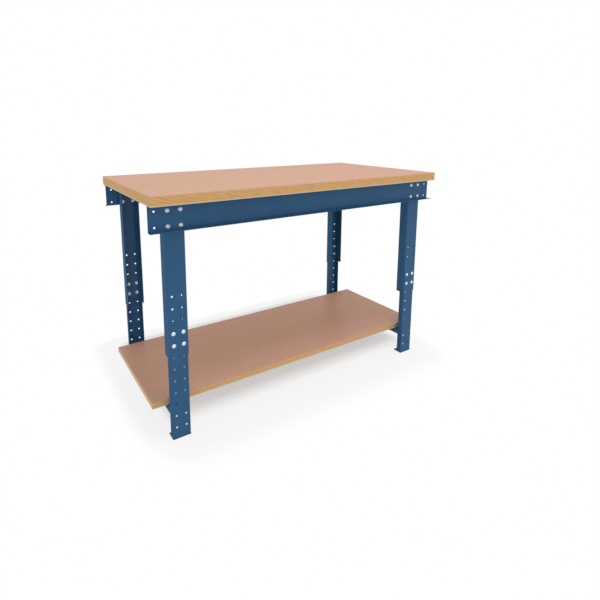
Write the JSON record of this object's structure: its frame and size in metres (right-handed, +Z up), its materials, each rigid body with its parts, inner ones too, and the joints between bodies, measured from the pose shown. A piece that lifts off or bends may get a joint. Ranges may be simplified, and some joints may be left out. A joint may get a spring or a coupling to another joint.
{
  "type": "assembly table",
  "caption": "Height-adjustable assembly table with a thick beech worktop, a lower shelf and telescopic perforated steel channel legs.",
  "frame": {"origin": "on the floor, under the middle of the table", "axes": "+X along the table to its right end, +Y from its front to its rear, +Z up"},
  "size_m": [1.5, 0.75, 0.997],
  "materials": {
    "beech_multiplex": "clear matt lacquer over beech, golden layered edges",
    "blue_powder_coat": "satin blue powder coat",
    "zinc_plated_steel": "bright zinc plating"
  },
  "bodies": {
    "base": {"lower_leg_front_left": "blue_powder_coat", "foot_plate_front_left": "blue_powder_coat", "lower_leg_front_right": "blue_powder_coat", "foot_plate_front_right": "blue_powder_coat", "lower_leg_rear_left": "blue_powder_coat", "foot_plate_rear_left": "blue_powder_coat", "lower_leg_rear_right": "blue_powder_coat", "foot_plate_rear_right": "blue_powder_coat", "shelf_beam_left": "blue_powder_coat", "shelf_beam_right": "blue_powder_coat", "shelf_board": "beech_multiplex", "shelf_screws": "zinc_plated_steel"},
    "top": {"worktop": "beech_multiplex", "front_rail": "blue_powder_coat", "rear_rail": "blue_powder_coat", "worktop_beam_left": "blue_powder_coat", "worktop_beam_right": "blue_powder_coat", "upper_leg_front_left": "blue_powder_coat", "upper_leg_front_right": "blue_powder_coat", "upper_leg_rear_left": "blue_powder_coat", "upper_leg_rear_right": "blue_powder_coat", "rail_bolts_front_left": "zinc_plated_steel", "rail_nuts_front_left": "zinc_plated_steel", "leg_bolts_front_left": "zinc_plated_steel", "leg_nuts_front_left": "zinc_plated_steel", "rail_bolts_front_right": "zinc_plated_steel", "rail_nuts_front_right": "zinc_plated_steel", "leg_bolts_front_right": "zinc_plated_steel", "leg_nuts_front_right": "zinc_plated_steel", "rail_bolts_rear_left": "zinc_plated_steel", "rail_nuts_rear_left": "zinc_plated_steel", "leg_bolts_rear_left": "zinc_plated_steel", "leg_nuts_rear_left": "zinc_plated_steel", "rail_bolts_rear_right": "zinc_plated_steel", "rail_nuts_rear_right": "zinc_plated_steel", "leg_bolts_rear_right": "zinc_plated_steel", "leg_nuts_rear_right": "zinc_plated_steel", "worktop_screws": "zinc_plated_steel"}
  },
  "joints": [
    {"name": "table_height", "type": "slide", "parent": "base", "child": "top", "axis": [0, 0, 1], "range_m": [-0.3, 0]}
  ]
}
